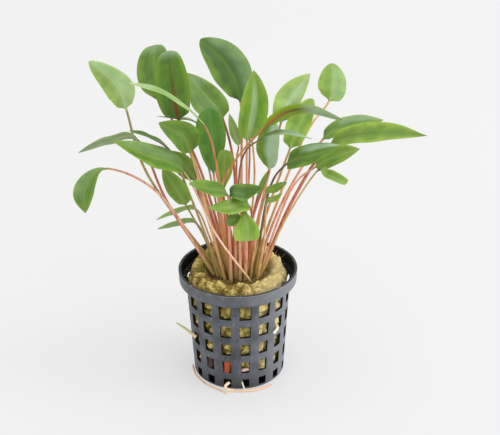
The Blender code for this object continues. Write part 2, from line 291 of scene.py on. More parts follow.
def turned_shell(shape, profile, steps):
    """Spin an open profile of (radius, height) pairs once round the Z axis."""
    points = [shape.verts.new((radius, 0.0, height)) for radius, height in profile]
    edges = [shape.edges.new(pair) for pair in zip(points, points[1:])]
    bmesh.ops.spin(shape, geom=points + edges, axis=(0, 0, 1), steps=steps, angle=math.tau, use_merge=True)
    bmesh.ops.remove_doubles(shape, verts=shape.verts, dist=TOUCHING)
    bmesh.ops.recalc_face_normals(shape, faces=shape.faces)


pot_shape = bmesh.new()
row_heights = [height for row in WINDOW_ROWS[1:] for height in row]
pot_profile = [(RIM_RADIUS, RIM_HEIGHT), (LIP_RADIUS, LIP_BOTTOM)]
pot_profile += [(BODY_TOP_RADIUS + SHOULDER_WIDTH, WINDOW_ROWS[0][0])]
pot_profile += [(body_radius(height), height) for height in (BODY_TOP, WINDOW_ROWS[0][1], *row_heights)]
pot_profile += [(body_radius(BASE_ROUND), BASE_ROUND), (BASE_RADIUS - BASE_ROUND, 0.0)]
pot_profile += [(SLOT_OUTER, 0.0), (SLOT_INNER, 0.0), (0.0, 0.0)]
turned_shell(pot_shape, pot_profile, COLUMNS * STEPS_PER_COLUMN)

# The first half of each column's steps spans its window and the rest its bar
column_pitch = math.tau / COLUMNS
half_steps = STEPS_PER_COLUMN // 2
for vert in pot_shape.verts:
    radius = math.hypot(vert.co.x, vert.co.y)
    step = round(math.atan2(vert.co.y, vert.co.x) / column_pitch * STEPS_PER_COLUMN)
    column, step_inside = divmod(step, STEPS_PER_COLUMN)
    share = window_share(vert.co.z)
    if step_inside <= half_steps:
        turn = share * (step_inside / half_steps - 0.5)
    else:
        turn = share / 2 + (1 - share) * (step_inside / half_steps - 1)
    angle = FIRST_COLUMN + column_pitch * (column + turn)
    vert.co.x = radius * math.cos(angle)
    vert.co.y = radius * math.sin(angle)
windows = []
for face in pot_shape.faces:
    middle = face.calc_center_median()
    radius = math.hypot(middle.x, middle.y)
    turn = (math.atan2(middle.y, middle.x) - FIRST_COLUMN) / column_pitch
    in_column = abs(turn - round(turn)) < window_share(middle.z) / 2
    in_row = any(bottom < middle.z < top for top, bottom in WINDOW_ROWS)
    in_slot = middle.z < TOUCHING and SLOT_INNER < radius < SLOT_OUTER
    if in_column and (in_row or in_slot):
        windows.append(face)
bmesh.ops.delete(pot_shape, geom=windows, context="FACES")

pot_outside = Finish("pot plastic with painted sheen, light and shade", POT_GREY, 0.45)
cloudy = pot_outside.grain(9.0, 4.0)
specks = pot_outside.grain(0.7, 2.0)
scuffs = pot_outside.grain(1.6, 5.0, (1.0, 1.0, 0.25))
rubbed = pot_outside.grain(RUBBED_SIZE)
# Painted sheen: the whole outside is grey. Painted light pales the lip and the right side, painted shade
# darkens the foot. The scuffs and the pale rim are real wear.
height_up = pot_outside.distance_along("Z")
to_right = pot_outside.distance_along("X")
above_foot = pot_outside.step(height_up, 0.0, FOOT_SHADE_TOP * MM)
at_lip = pot_outside.step(height_up, LIP_PAINTED_LIGHT[0] * MM, LIP_PAINTED_LIGHT[1] * MM)
at_right = pot_outside.step(to_right, RIGHT_PAINTED_LIGHT[0] * MM, RIGHT_PAINTED_LIGHT[1] * MM)
at_rim = pot_outside.step(height_up, RIM_WEAR[0] * MM, RIM_WEAR[1] * MM)
pot_colour = pot_outside.blend(pot_outside.step(cloudy, 0.35, 0.65), POT_DARK, POT_GREY)
pot_colour = pot_outside.blend(pot_outside.step(scuffs, 0.52, 0.75) * 0.45, pot_colour, POT_SCUFF_AND_LIGHT)
# Painted shade at the foot, then painted light on the lip and to the right
pot_colour = pot_outside.blend(1.0 - above_foot, pot_colour, POT_DARK)
pot_colour = pot_outside.blend(at_lip * 0.2, pot_colour, POT_SCUFF_AND_LIGHT)
pot_colour = pot_outside.blend(at_right * 0.6, pot_colour, POT_SCUFF_AND_LIGHT)
pot_rim = at_rim * (0.35 + pot_outside.step(rubbed, *RUBBED_FROM))
pot_outside.paint(pot_outside.blend(pot_rim, pot_colour, POT_WORN))
pot_outside.gloss(0.36 + scuffs * 0.22)
pot_outside.raise_by(specks * 0.6 + scuffs * 0.4, 0.05)

# The inside is black plastic, darkened further as painted shade
pot_inside = Finish("black pot plastic in painted shade", POT_BLACK, 0.5, Specular_IOR_Level=0.25)
inner_height = pot_inside.distance_along("Z")
inner_specks = pot_inside.grain(1.1)
inner_rubbed = pot_inside.step(pot_inside.grain(RUBBED_SIZE), *RUBBED_FROM)
inner_rim = pot_inside.step(inner_height, INNER_RIM_WEAR[0] * MM, INNER_RIM_WEAR[1] * MM)
inner_colour = pot_inside.blend(inner_rim, POT_BLACK, POT_DARK)
pot_inside.paint(pot_inside.blend(inner_rim * inner_rubbed * 0.7, inner_colour, POT_WORN))
pot_inside.gloss(0.45 + inner_specks * 0.2)
pot_inside.raise_by(inner_specks, 0.03)

net_pot = settle("net_pot", pot_shape, [pot_outside, pot_inside], POT_CREASE)
pot_wall = net_pot.modifiers.new("wall", "SOLIDIFY")
pot_wall.thickness = POT_WALL * MM
pot_wall.offset = -1.0
pot_wall.use_even_offset = True
# The inside shell and the windows' cut edges take the black finish, painted shade
pot_wall.material_offset = 1
pot_wall.material_offset_rim = 1
pot_edges = net_pot.modifiers.new("rounded edges", "BEVEL")
pot_edges.width = POT_EDGE * MM
pot_edges.segments = 2
pot_edges.limit_method = "ANGLE"
pot_edges.angle_limit = math.radians(ROUNDED_FROM)
pot_edges.use_clamp_overlap = True
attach(net_pot, "root")
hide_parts("pot")


# Rock wool. One crumpled plug of mineral fibre, pressed into the pot round the plant's
# roots: a lumpy mustard mass with painted shade in its creases and painted highlights on
# its lumps, painted light to the right, and hollow where the crown sits, in painted shade.
WOOL_RADIUS = 22.4
WOOL_BOTTOM_RADIUS = 20.0
WOOL_BOTTOM = 7.0
WOOL_EDGE_HEIGHT = 49.5
WOOL_TOP = 52.0
WOOL_BACK_RISE = 0.18
WOOL_STEPS = 240
WOOL_BASE_ROWS = 8
WOOL_SIDE_ROWS = 64
WOOL_TOP_ROWS = 24
CROWN_CENTRE = (0.0, 2.8)
CROWN_REACH = (13.4, 11.8)
CROWN_FLOOR = 49.8
CROWN_SHARE = 0.6
CROWN_LIP_SHARE = 0.75
CROWN_ROWS = 16
LUMP_SIZE = 4.6
LUMP_RISE = 1.5
LUMP_BEND = 1.2
CRUMB_SIZE = 1.4
CRUMB_RISE = 0.75
CRUMB_SHIFT = Vector((7, 3, 5))
RELIEF_GAIN = 3.0
RELIEF_LIMIT = 1.2
# Where the painted light on the right of the plug rises, along X
WOOL_PAINTED_LIGHT_SIDE = (0.0, 17.0)
CRUMPLE_PATTERN = 7
# Painted highlight on the lumps' tops, the plug's own colour, painted shade in its creases, and random mossy
# patches
WOOL_LIGHT = (228, 206, 128)
WOOL_MID = (166, 143, 70)
WOOL_DEEP = (84, 66, 26)
WOOL_MOSSY = (104, 100, 50)
# Painted light on the right of the plug
WOOL_PAINTED_LIGHT = (238, 222, 164)
# Painted shade in the crown hollow
WOOL_CROWN_SHADE = (60, 36, 18)


def wool_height(x, y):
    """Top of the plug round the crown: lumpy, and higher at the back."""
    wide = math.sin(0.55 * x + 1.3) * math.cos(0.5 * y - 0.4)
    narrow = math.sin(1.1 * x - 0.7 * y) * math.cos(0.9 * y + 0.6)
    return WOOL_TOP + WOOL_BACK_RISE * max(y, 0.0) + 0.8 * wide + 0.5 * narrow


def wool_relief(place):
    """How far lumps and crumbs stand out here, each from 0 in a crease to about 1 on top."""
    bent = place + noise.noise_vector(place / LUMP_SIZE) * LUMP_BEND
    lumps = min(abs(noise.noise(bent / LUMP_SIZE)) * RELIEF_GAIN, RELIEF_LIMIT) ** 0.6
    crumbs = min(abs(noise.noise(bent / CRUMB_SIZE + CRUMB_SHIFT)) * RELIEF_GAIN, RELIEF_LIMIT) ** 0.7
    return lumps, crumbs


def grade(value, start, end):
    """Smooth rise from 0 at start to 1 at end."""
    share = min(max((value - start) / (end - start), 0.0), 1.0)
    return share * share * (3 - 2 * share)


noise.seed_set(CRUMPLE_PATTERN)
wool_shape = bmesh.new()
side_rise = (WOOL_EDGE_HEIGHT - WOOL_BOTTOM) / WOOL_SIDE_ROWS
side_spread = (WOOL_RADIUS - WOOL_BOTTOM_RADIUS) / WOOL_SIDE_ROWS
wool_profile = [(WOOL_BOTTOM_RADIUS * row / WOOL_BASE_ROWS, WOOL_BOTTOM) for row in range(WOOL_BASE_ROWS)]
wool_profile += [(WOOL_BOTTOM_RADIUS + side_spread * row, WOOL_BOTTOM + side_rise * row)
                 for row in range(WOOL_SIDE_ROWS + 1)]
top_span = (1 - CROWN_SHARE) / WOOL_TOP_ROWS
wool_profile += [(WOOL_RADIUS * (1 - top_span * row), WOOL_TOP) for row in range(1, WOOL_TOP_ROWS + 1)]
wool_profile += [(WOOL_RADIUS * CROWN_SHARE * (1 - row / CROWN_ROWS), WOOL_TOP)
                 for row in range(1, CROWN_ROWS + 1)]
turned_shell(wool_shape, wool_profile, WOOL_STEPS)
relief_layer = wool_shape.verts.layers.float.new("relief")
crown_layer = wool_shape.verts.layers.float.new("crown")
for vert in wool_shape.verts:
    radius = math.hypot(vert.co.x, vert.co.y)
    outward = Vector((vert.co.x, vert.co.y)) / max(radius, 0.001)
    swell = Vector((outward.x, outward.y, 0.0))
    if vert.co.z == WOOL_TOP:
        share = radius / WOOL_RADIUS
        inward = (1 - share) / (1 - CROWN_SHARE)
        crown_edge = Vector(CROWN_CENTRE) + Vector((CROWN_REACH[0] * outward.x, CROWN_REACH[1] * outward.y))
        if share >= CROWN_SHARE:
            vert.co.xy = (outward * WOOL_RADIUS).lerp(crown_edge, inward)
        else:
            vert.co.xy = Vector(CROWN_CENTRE).lerp(crown_edge, share / CROWN_SHARE)
        edge_drop = (WOOL_TOP - WOOL_EDGE_HEIGHT) * grade(share, 0.93, 1.0)
        vert.co.z = wool_height(vert.co.x, vert.co.y) - edge_drop
        sunk = 1 - grade(share, CROWN_SHARE, CROWN_LIP_SHARE)
        vert.co.z += (CROWN_FLOOR - vert.co.z) * sunk
        vert[crown_layer] = sunk
        swell = Vector((outward.x * 0.3, outward.y * 0.3, 1.0))
    lumps, crumbs = wool_relief(vert.co.copy())
    strength = 1.0 if vert.co.z > WOOL_BOTTOM + 1 else 0.2
    pressed = 0.85 if vert.co.z < WOOL_EDGE_HEIGHT else 0.75
    vert[relief_layer] = 0.65 * lumps + 0.35 * crumbs
    vert.co += swell * strength * (LUMP_RISE * (lumps - pressed) + CRUMB_RISE * (crumbs - 0.7))

wool = Finish("rock wool", WOOL_MID, 0.95, Specular_IOR_Level=0.2)
stood_out = wool.read("relief")
crumbly = wool.grain(1.6, 5.0)
stringy = wool.grain(0.8, 4.0)
patchy = wool.grain(6.0, 2.0)
# Painted shade in the creases, broken by random darker flecks, then painted highlights on the lumps' tops,
# broken by random fibre streaks
wool_colour = wool.blend(wool.step(stood_out + (crumbly - 0.5) * 2.0, 0.05, 0.75), WOOL_DEEP, WOOL_MID)
wool_colour = wool.blend(wool.step(stood_out + (stringy - 0.5) * 2.4, 0.65, 1.15), wool_colour, WOOL_LIGHT)
wool_colour = wool.blend(wool.step(patchy, 0.45, 0.70) * 0.5, wool_colour, WOOL_MOSSY)
# Painted light on the right of the plug
right_painted_light = wool.step(wool.distance_along("X"), WOOL_PAINTED_LIGHT_SIDE[0] * MM, WOOL_PAINTED_LIGHT_SIDE[1] * MM)
wool_colour = wool.blend(right_painted_light * 0.6, wool_colour, WOOL_PAINTED_LIGHT)
# Painted shade in the crown hollow round the stalk feet
wool.paint(wool.blend(wool.read("crown") * 0.8, wool_colour, WOOL_CROWN_SHADE))
wool.raise_by(crumbly * 0.6 + stringy * 0.4, 0.55)

wool_plug = settle("wool_plug", wool_shape, [wool])
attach(wool_plug, "root")
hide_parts("rock_wool")


# Wool fibres. Loose ends of the same mineral fibre that stand out of the plug's top and
# through the pot's windows, each a thin bent thread rooted in the plug.
FIBRE_COUNT = 2048
FIBRE_RADIUS = 0.055
FIBRE_ROWS = 5
FIBRE_LENGTHS_TOP = (1.2, 3.2)
FIBRE_LENGTHS_SIDE = (0.8, 1.8)
FIBRE_CURL = 0.30
FIBRE_SUNK = 0.2
FIBRE_TAPER = 0.4
BARE_FOOT = 3
BARE_CROWN = 12
FIBRE_LIGHT = (222, 208, 156)
FIBRE_DARK = (150, 128, 72)


def straight_rod(segments, rows):
    """Closed rod of unit radius, one unit long for each row, ringed at every row."""
    shape = bmesh.new()
    bmesh.ops.create_circle(shape, segments=segments, radius=1.0)
    bmesh.ops.spin(shape, geom=shape.verts[:] + shape.edges[:], axis=(0, 0, 1), cent=(0, 0, 0),
                   dvec=(0, 0, 1), angle=0.0, steps=rows)
    bmesh.ops.holes_fill(shape, edges=shape.edges[:], sides=segments)
    bmesh.ops.recalc_face_normals(shape, faces=shape.faces)
    return shape


# Every thread starts as one of a stack of small upright rods, and is bent into place. The
# stack is doubled until it is high enough, so the count is a power of two.
rng = random.Random(11)
rooted_in = [vert for vert in wool_plug.data.vertices if vert.co.z > (WOOL_BOTTOM + BARE_FOOT) * MM]
rooted_in = [vert for vert in rooted_in if math.hypot(vert.co.x, vert.co.y) > BARE_CROWN * MM]
threads = []
for number in range(FIBRE_COUNT):
    root = rng.choice(rooted_in)
    standing = Vector(root.normal)
    on_top = root.co.z > (WOOL_EDGE_HEIGHT - 0.5) * MM
    length = rng.uniform(*(FIBRE_LENGTHS_TOP if on_top else FIBRE_LENGTHS_SIDE))
    lean = Vector([rng.gauss(0, 1) for axis in range(3)])
    heading = (standing * (0.35 if on_top else 0.15) + lean.cross(standing) * 0.8).normalized()
    curl = Vector([rng.gauss(0, 1) for axis in range(3)]) * FIBRE_CURL
    start = Vector(root.co) / MM - standing * FIBRE_SUNK
    threads.append((start, heading * length, curl * length ** 2 / 2, rng.random()))
fibre_shape = straight_rod(3, FIBRE_ROWS)
thread_rings = FIBRE_ROWS + 1
copies = 1
while copies < FIBRE_COUNT:
    stack = fibre_shape.verts[:] + fibre_shape.edges[:] + fibre_shape.faces[:]
    made = bmesh.ops.duplicate(fibre_shape, geom=stack)
    raised = [part for part in made["geom"] if isinstance(part, bmesh.types.BMVert)]
    bmesh.ops.translate(fibre_shape, verts=raised, vec=(0, 0, thread_rings * copies))
    copies *= 2
shade_layer = fibre_shape.verts.layers.float.new("shade")
for vert in fibre_shape.verts:
    number, ring = divmod(round(vert.co.z), thread_rings)
    start, reach, curl, shade = threads[number]
    share = ring / FIBRE_ROWS
    across = reach.to_track_quat("Z", "Y") @ Vector((vert.co.x, vert.co.y, 0.0))
    vert[shade_layer] = shade
    vert.co = start + reach * share + curl * share ** 2
    vert.co += across * FIBRE_RADIUS * (1 - FIBRE_TAPER * share)

fibre = Finish("wool fibre", FIBRE_LIGHT, 0.8, Specular_IOR_Level=0.3)
fibre.paint(fibre.blend(fibre.read("shade") * 0.7 + fibre.grain(2.0) * 0.3, FIBRE_DARK, FIBRE_LIGHT))
wool_fibres = settle("wool_fibres", fibre_shape, [fibre])
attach(wool_fibres, "root")


# Leaves. Each grew as one piece: a round stalk out of the crown in the wool, salmon to
# brown with an olive foot, and a soft blade with a midrib, arching veins and a
# yellow-green margin. The blade's underside is duller and its midrib stands out brown.
FOOT_HEIGHT = 49.0
FOOT_RADIUS = 0.75
JOINT_RADIUS = 0.5
BLADE_THICKNESS = 0.22
RIB_RISE = 0.7
RIB_WIDTH = 0.55
SECTION_SIDES = 32
STALK_ROWS = 26
BLADE_ROWS = 36
BLADE_CREASE = 70
ROW_CROWDING = 0.45
SIDE_POWER = 1.4
THINNEST_HALF = 0.14
RIB_GROOVE = 0.08
FOLD_ROUND = 0.5
EDGE_WAVE = 0.25
EDGE_WAVES = 17
JOINT_SHARE = 0.07
LOBE_SHARE = 0.3
VEINS_PER_HALF = 3.2
VEIN_WANDER = 0.5
VEIN_SHAKE = 0.2
VIEWER = (0.0, -1.0, 0.5)
LEFT = (-0.5, -1.0, 0.4)
RIGHT = (0.4, -1.0, 0.4)
AWAY = (0.2, 1.0, 0.1)
LEVEL = (0.0, 0.0, 1.0)
TILTED = (0.0, -0.5, 1.0)
EDGE_ON = (0.0, 0.35, 1.0)
UNDER = (-0.2, 0.8, 0.6)

# What a leaf's numbers mean: its route from foot to tip, its half widths to its own left
# and right, where its upper face looks, its greens and its stalk. base and point say how
# blunt its ends are, widest where it is widest, fold how far its halves rise, lobe how
# far its base reaches back past the stalk, and stout how thick its stalk is. The last is a
# pale band of painted sheen: its middle and half width across, its ends along, and its strength.
Leaf = namedtuple("Leaf", "foot bend joint middle tip widths facing green stalk "
                  "base point widest fold lobe stout bloom",
                  defaults=(0.6, 0.75, 0.42, 0.14, 0.0, 1.0, None))
LEAVES = {
    "leaf_01": Leaf((-9.8, 6.2), (-40, 11, 95), (-49.6, 20, 124.7), (-53.6, 27, 133), (-67, 36, 142),
                    (6.6, 6.6), VIEWER, "pale", "olive", base=0.55, point=0.62, widest=0.42, lobe=0.6,
                    fold=-0.1, bloom=(0.6, 0.8, 0.0, 1.2, 0.25)),
    "leaf_02": Leaf((-6.4, 10.4), (-19, 16, 88), (-31, 17, 127.5), (-36, 25, 139.5), (-36.5, 33, 150.5),
                    (9, 8.8), LEFT, "dark", "brown", base=0.6, point=0.3, widest=0.55,
                    bloom=(0.0, 2.0, 0.9, 1.2, 0.3)),
    "leaf_03": Leaf((-4, 2), (-17, 5, 98), (-25, 6, 125), (-27.5, 10, 141), (-29, 16, 154), (7.2, 9.2),
                    AWAY, "dark", "brown", base=0.36, point=0.3, stout=1.2,
                    bloom=(0.0, 2.0, 0.94, 1.2, 0.6)),
    "leaf_04": Leaf((-2.5, -1), (-8, -2, 101), (-14, -2, 126.5), (-30.5, -4, 143), (-46, -6, 148),
                    (6.4, 6.4), (0.0, 0.12, 1.0), "pale", "tan", base=0.35, widest=0.45, fold=-0.08,
                    stout=0.8, bloom=(0.0, 2.0, -0.2, 1.2, 0.2)),
    "leaf_05": Leaf((-2.2, 8.2), (-1, 11, 96), (-6, 16, 121.5), (-13, 22, 130), (-22, 29, 138.5),
                    (9, 6), RIGHT, "dark", "brown", base=0.45, widest=0.38,
                    bloom=(0.5, 0.8, 0.7, 1.2, 0.2)),
    "leaf_06": Leaf((1.2, 10.2), (2, 16, 90), (2, 22, 127), (-4, 30, 142), (-16, 39, 151), (8.6, 9),
                    VIEWER, "deep", "salmon", point=0.6, stout=1.1, bloom=(0.8, 0.7, -0.2, 0.9, 0.2)),
    "leaf_07": Leaf((1.8, 2.2), (4.4, 2, 88), (4.8, 2, 116.7), (7.2, 5, 133), (8, 8, 147.5), (5.8, 7.6),
                    RIGHT, "mid", "salmon", base=0.45, point=0.7, widest=0.38,
                    bloom=(0.12, 0.22, 0.1, 0.8, 0.4)),
    "leaf_08": Leaf((-6, -3.4), (-16, -2, 96), (-20, -2, 113), (-23, -6, 123), (-33, -10, 131),
                    (5.6, 6.6), VIEWER, "dark", "gold", base=0.45),
    "leaf_09": Leaf((-3.5, 5.5), (-7, 6, 76), (-10.5, 8, 98), (-10.5, 9.5, 114.5), (-12, 12, 128.5),
                    (7.4, 6), VIEWER, "fresh", "salmon", base=0.5, point=0.4, widest=0.6),
    "leaf_10": Leaf((-11.2, 3.8), (-31.5, 3, 86), (-43, 4, 116), (-56, 1, 117.5), (-69, -5, 115),
                    (4.4, 4.4), LEVEL, "grey", "brown"),
    "leaf_11": Leaf((6.2, -5.8), (-9.5, -12.5, 78), (-23, -8, 106.5), (-38, -15, 117.5),
                    (-52, -22, 128), (6, 7.2), TILTED, "dark", "peach", base=0.45, point=1.0,
                    widest=0.36, stout=0.7, bloom=(0.7, 0.7, 0.1, 0.8, 0.15)),
    "leaf_12": Leaf((-7.4, -1.4), (-22, 0, 94), (-29, 0, 113), (-37.5, -3, 121), (-46, -8, 126.5),
                    (4.4, 4.4), (0.0, 0.0, 1.0), "dark", "olive", stout=0.8),
    "leaf_13": Leaf((-6.6, 4.6), (-14, 6, 78), (-18.5, 6, 95.5), (-24, 7, 103), (-30, 8, 109.5),
                    (4.6, 4.6), VIEWER, "mid", "salmon"),
    "leaf_14": Leaf((-9.3, -0.4), (-14.5, 1, 67), (-23, 0, 86), (-28, 1, 95), (-33, 2, 104), (4.4, 6),
                    LEFT, "mid", "olive", base=0.45, stout=0.75),
    "leaf_15": Leaf((-11.2, 1.4), (-34, -2, 92), (-56, -9, 109), (-65.6, -14, 102.6),
                    (-65.8, -21, 93.4), (5, 5.2), LEFT, "dark", "salmon", base=0.95, point=0.9,
                    widest=0.58, stout=0.9, bloom=(0.6, 0.6, 0.0, 0.7, 0.15)),
    "leaf_16": Leaf((-3.2, -5.4), (-3.5, -7, 74), (-4, -12, 97), (-12, -18, 103), (-20, -25, 109),
                    (5, 5), TILTED, "dark", "salmon"),
    "leaf_17": Leaf((-0.8, -3.2), (-1, -6, 73), (-2.8, -14, 97.6), (4, -15, 99.4), (11, -16, 102.6),
                    (4.2, 4.2), (0.0, -0.7, 1.0), "deep", "salmon", fold=0.3),
    "leaf_18": Leaf((3.4, -1.9), (6.4, -6, 71), (5.6, -15, 93), (-4, -20, 94.8), (-12.6, -24, 96.9),
                    (4.2, 4.2), (0.0, -0.6, 1.0), "mid", "brown", base=0.35, point=0.9, widest=0.3),
    "leaf_19": Leaf((1, -4.9), (1.2, -7.5, 69), (0.6, -11.6, 87.2), (-1.4, -14.4, 86.2),
                    (-4.2, -17.4, 85.2), (2.9, 2.9), VIEWER, "dark", "salmon", base=0.4, point=0.4),
    "leaf_20": Leaf((3.3, -4.2), (4, -8.2, 70), (2.4, -15.4, 90.3), (4.4, -20.5, 88.2),
                    (5.4, -25.6, 81.4), (5, 6.6), VIEWER, "light", "salmon", base=0.5, point=0.2,
                    widest=0.82),
    "leaf_21": Leaf((-6.6, 7.2), (-12.5, 9.5, 63), (-19, 13.5, 77), (-30, 16, 74), (-38, 17, 70),
                    (3.5, 3.5), LEVEL, "light", "gold", stout=0.8),
    "leaf_22": Leaf((-8.6, 8.4), (-13, 13, 58), (-20, 16, 69), (-29, 18, 67), (-38, 19, 64), (3.5, 3.5),
                    LEVEL, "light", "olive", stout=0.8),
    "leaf_23": Leaf((7, 9.5), (29, 13, 110), (42, 22, 127), (44, 29, 133.5), (44, 37, 139.5),
                    (6.8, 6.2), VIEWER, "mid", "gold", base=0.35, point=0.5, fold=-0.1, stout=0.9,
                    bloom=(0.5, 0.7, 0.0, 0.9, 0.2)),
    "leaf_24": Leaf((-3.6, -2.6), (-7, -5, 96), (12, -6, 126.2), (28, -7, 135.6), (46, -10, 131.6),
                    (6.2, 4), UNDER, "bright", "tan", base=0.32, point=0.6, widest=0.4, stout=0.85,
                    bloom=(0.0, 2.0, 0.55, 1.0, 0.6)),
    "leaf_25": Leaf((4, 8.8), (12, 12, 84), (20, 14, 120), (24.5, 20, 129), (33.5, 28, 138), (6.8, 5.4),
                    RIGHT, "pale", "salmon", base=0.35, fold=-0.1, bloom=(0.3, 0.6, -0.2, 0.8, 0.3)),
    "leaf_26": Leaf((3.4, 3.6), (6.6, 3, 76), (14.5, 4, 101.5), (14.6, 6, 112), (17, 8.5, 123), (6, 5),
                    LEFT, "light", "brown", base=0.45, point=0.4, widest=0.5,
                    bloom=(0.5, 1.1, -0.2, 1.2, 0.8)),
    "leaf_27": Leaf((0.4, -1.2), (1.6, -4, 106.4), (11.5, -7, 122), (21.5, -11, 126.2),
                    (32.5, -16, 125.6), (3, 3), LEVEL, "grey", "dark", base=0.35, point=1.0, widest=0.3,
                    stout=0.65, bloom=(0.0, 2.0, 0.35, 1.2, 0.5)),
    "leaf_28": Leaf((8.5, 7.2), (22, 12, 84), (39, 15, 111.2), (51.5, 15, 117.6), (66, 15, 120.6),
                    (6.4, 6), (0.0, -0.3, 1.0), "dark", "salmon", base=0.4, point=0.8, widest=0.45,
                    bloom=(-0.7, 0.5, 0.3, 1.0, 0.3)),
    "leaf_29": Leaf((5.5, 5.5), (14, 7, 80), (24, 8, 110), (28.5, 13, 120), (34.5, 19, 129.5), (6.4, 5),
                    RIGHT, "light", "gold", base=0.32, point=0.5),
    "leaf_30": Leaf((0.6, 5.6), (-0.1, 7, 100.2), (0.9, 9, 111.1), (-1, 10, 118), (-3, 11, 126),
                    (2.2, 2.2), VIEWER, "pale", "brown", stout=0.7),
    "leaf_31": Leaf((11.2, 4), (25, 6, 84.5), (42, 5.5, 113), (63, 0, 121), (82.6, -8, 123), (6, 6),
                    TILTED, "creased", "brown", base=0.4, point=0.95, widest=0.36, stout=1.3,
                    bloom=(-0.6, 0.4, 0.0, 0.55, 0.0)),
    "leaf_32": Leaf((7.8, 0), (14, -3, 93), (22, -8, 110), (33, -14, 117), (45, -20, 124), (6.4, 6.4),
                    TILTED, "dark", "dark", base=0.4, point=0.8, widest=0.34, stout=0.85,
                    bloom=(-0.65, 0.4, 0.3, 1.1, 0.7)),
    "leaf_33": Leaf((9.7, 1.8), (24, 1, 92), (35, -1, 105), (44, -4, 111.8), (54, -6, 116), (5.6, 5.6),
                    TILTED, "mid", "salmon", base=0.3, point=0.85, stout=0.8),
    "leaf_34": Leaf((9.9, -1.4), (21.5, -5, 80.5), (35.2, -11, 107.8), (39.8, -15, 108.2),
                    (47.6, -20, 106.2), (2.6, 2.6), TILTED, "mid", "gold", base=0.8, point=0.15,
                    widest=0.62, fold=0.3, stout=0.75),
    "leaf_35": Leaf((5.6, -2), (8.6, -5, 73), (12.8, -8, 95), (17.2, -9, 98.8), (22, -10, 102),
                    (1.9, 1.9), VIEWER, "light", "gold", point=0.5, stout=0.9),
    "leaf_36": Leaf((8.9, -3.9), (12, -8, 72), (13.2, -12, 92.6), (16.4, -13, 95.4), (20, -14, 98.6),
                    (1.3, 1.3), VIEWER, "light", "gold", stout=0.9),
    "leaf_37": Leaf((-2, 3), (-3, 1, 71), (-6, 0, 91), (-5.6, 1, 102), (-5, 2, 112.5), (3.4, 4), VIEWER,
                    "light", "brown", base=0.6, point=0.25, widest=0.7),
    "leaf_38": Leaf((3.5, 1.5), (6, -2, 74), (9.4, -5, 93), (11.5, -5.5, 99.2), (13.5, -6, 105.4),
                    (1.4, 1.4), VIEWER, "light", "brown"),
    "leaf_39": Leaf((-4.4, 8.6), (-15, 12, 112), (-18.6, 12, 122), (-26.5, 12, 123.6),
                    (-35.3, 12, 124.6), (3.4, 3.4), EDGE_ON, "silver", "olive", stout=0.7),
    "leaf_40": Leaf((-1.9, 10.8), (-6, 20, 74), (-11, 28, 95), (-12, 34, 104), (-13, 40, 113), (6, 6),
                    VIEWER, "mid", "salmon"),
    "leaf_41": Leaf((0.8, 12.7), (5.2, 22, 85), (6.1, 30, 108.2), (6.8, 36, 116), (7.2, 44, 124),
                    (4.2, 5.2), VIEWER, "mid", "brown", stout=0.8),
    "leaf_42": Leaf((4.2, 11.4), (8, 18, 89.8), (7, 22, 109.2), (7.1, 24, 113.8), (7.6, 27, 119.5),
                    (3.4, 3.4), VIEWER, "mid", "gold", stout=0.8),
    "leaf_43": Leaf((-4.4, 12.4), (-16, 22, 90), (-27, 26, 119), (-30, 34, 127), (-32, 42, 136),
                    (6.5, 6.5), VIEWER, "mid", "brown"),
}

# Greens: the blade's main colour, its margin, its darker patches and its midrib
# The pale, silver and grey greens are partly painted sheen: greens made lighter and greyer
GREENS = {
    "mid": ((110, 146, 44), (140, 170, 50), (92, 128, 36), (146, 168, 82)),
    "fresh": ((84, 138, 42), (112, 158, 46), (66, 118, 36), (112, 158, 74)),
    "creased": ((118, 150, 46), (150, 178, 58), (96, 130, 38), (78, 98, 38)),
    "dark": ((90, 129, 40), (122, 155, 46), (74, 110, 32), (134, 156, 72)),
    "deep": ((70, 106, 30), (118, 154, 46), (56, 90, 24), (92, 126, 50)),
    "pale": ((140, 168, 92), (150, 180, 66), (116, 148, 66), (168, 188, 130)),
    "bright": ((142, 168, 40), (156, 182, 44), (118, 148, 32), (158, 176, 76)),
    "light": ((120, 154, 44), (148, 178, 50), (94, 130, 34), (150, 176, 88)),
    "silver": ((134, 168, 118), (150, 182, 100), (110, 146, 92), (162, 190, 150)),
    "grey": ((108, 130, 80), (134, 154, 88), (82, 102, 58), (128, 146, 104)),
}
# Stalks: the colour of the middle, of the shaded streaks and near the blade
STALKS = {
    "salmon": ((240, 180, 148), (196, 116, 84), (206, 146, 100)),
    "peach": ((252, 212, 182), (236, 178, 146), (156, 144, 88)),
    "brown": ((204, 122, 90), (144, 72, 50), (150, 88, 50)),
    "gold": ((228, 186, 128), (180, 128, 78), (172, 148, 80)),
    "tan": ((206, 140, 82), (152, 92, 50), (166, 106, 62)),
    "olive": ((184, 160, 98), (134, 110, 62), (128, 124, 66)),
    "dark": ((128, 98, 68), (82, 56, 40), (94, 86, 54)),
}
STALK_FOOT = (184, 162, 94)
UNDER_RIB = (86, 84, 28)
RIB_FEET = {"bright": (172, 98, 60), "silver": (168, 192, 152), "grey": (136, 160, 122)}
RIB_FOOT = (116, 70, 24)
# Pale colour of the painted sheen on the blades
SHEEN_COLOUR = (172, 200, 166)
FOOT_SWELL = 0.15


def route_place(points, where):
    """Place on a Catmull-Rom curve through the route's own points; where counts points."""
    padded = [2 * points[0] - points[1]] + points + [2 * points[-1] - points[-2]]
    span = min(int(where), len(points) - 2)
    t = where - span
    before, start, end, after = padded[span:span + 4]
    linear_part = (end - before) * t
    square_part = (2 * before - 5 * start + 4 * end - after) * t * t
    cubic_part = (3 * start - before - 3 * end + after) * t ** 3
    return start + (linear_part + square_part + cubic_part) / 2


